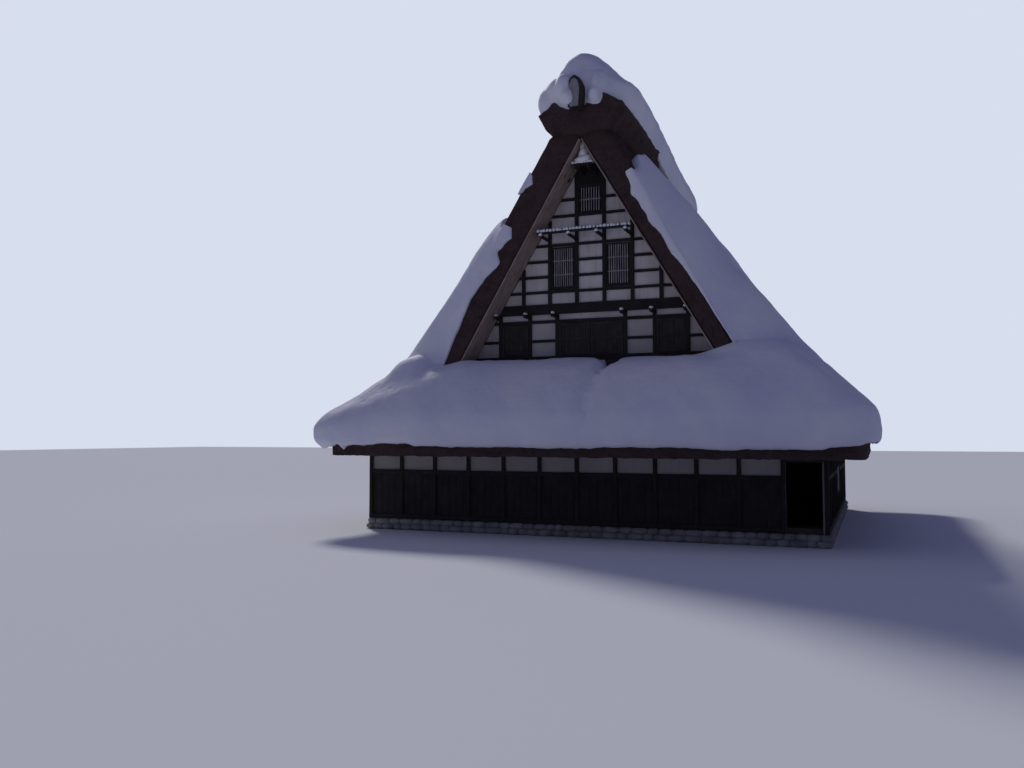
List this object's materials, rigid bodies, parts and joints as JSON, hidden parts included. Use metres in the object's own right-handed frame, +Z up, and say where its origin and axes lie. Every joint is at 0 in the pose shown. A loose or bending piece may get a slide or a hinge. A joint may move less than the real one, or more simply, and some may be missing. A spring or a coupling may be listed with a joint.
{
  "type": "minka farmhouse",
  "caption": "Half-timbered farmhouse with a steep thatched main roof over a thatched skirt roof, both deep in snow, with boarded loft doors and barred gable windows.",
  "frame": {"origin": "on the ground, at the middle of the plan", "axes": "+Z up, -Y out of the front gable, +X to the right of someone who faces the front gable"},
  "size_m": [16.882, 17.06, 15.2],
  "materials": {
    "stone": "rough field stone",
    "timber": "smoke-blackened timber, dull",
    "boards": "weathered dark boards",
    "soffit": "pale weathered reed and boards",
    "plaster": "off-white lime plaster, lightly stained",
    "thatch": "old dark brown reed thatch",
    "bark": "grey-brown bark",
    "snow": "settled dry snow"
  },
  "bodies": {
    "root": {"stone_footing": "stone", "ground_floor": "boards", "front_wall": "plaster", "front_wall_over_door": "plaster", "back_wall": "plaster", "left_wall": "plaster", "right_wall": "plaster", "front_wall_frame": "timber", "back_wall_frame": "timber", "left_wall_frame": "timber", "right_wall_frame": "timber", "front_door_frame": "timber", "left_window": "timber", "right_window": "timber", "front_inner_posts": "timber", "back_inner_posts": "timber", "loft_floor_lower": "boards", "loft_floor_middle": "boards", "loft_floor_upper": "boards", "front_gable_wall": "plaster", "back_gable_wall": "plaster", "front_lower_gable_frame": "timber", "front_upper_gable_frame": "timber", "back_lower_gable_frame": "timber", "back_upper_gable_frame": "timber", "front_gable_pole": "timber", "front_top_pole": "timber", "back_gable_pole": "timber", "back_top_pole": "timber", "front_loft_doors": "boards", "back_loft_doors": "boards", "front_shutter_right": "boards", "back_shutter_right": "boards", "front_shutter_left": "boards", "back_shutter_left": "boards", "front_window_right": "timber", "back_window_right": "timber", "front_window_left": "timber", "back_window_left": "timber", "front_window_top": "timber", "back_window_top": "timber", "roof_right": "thatch", "roof_left": "thatch", "front_skirt": "thatch", "back_skirt": "thatch", "right_skirt": "thatch", "left_skirt": "thatch", "front_soffit": "soffit", "back_soffit": "soffit", "ridge_saddle": "thatch", "ridge_roll": "bark", "right_snow": "snow", "left_snow": "snow", "front_snow": "snow", "back_snow": "snow", "ridge_snow": "snow"}
  },
  "joints": []
}
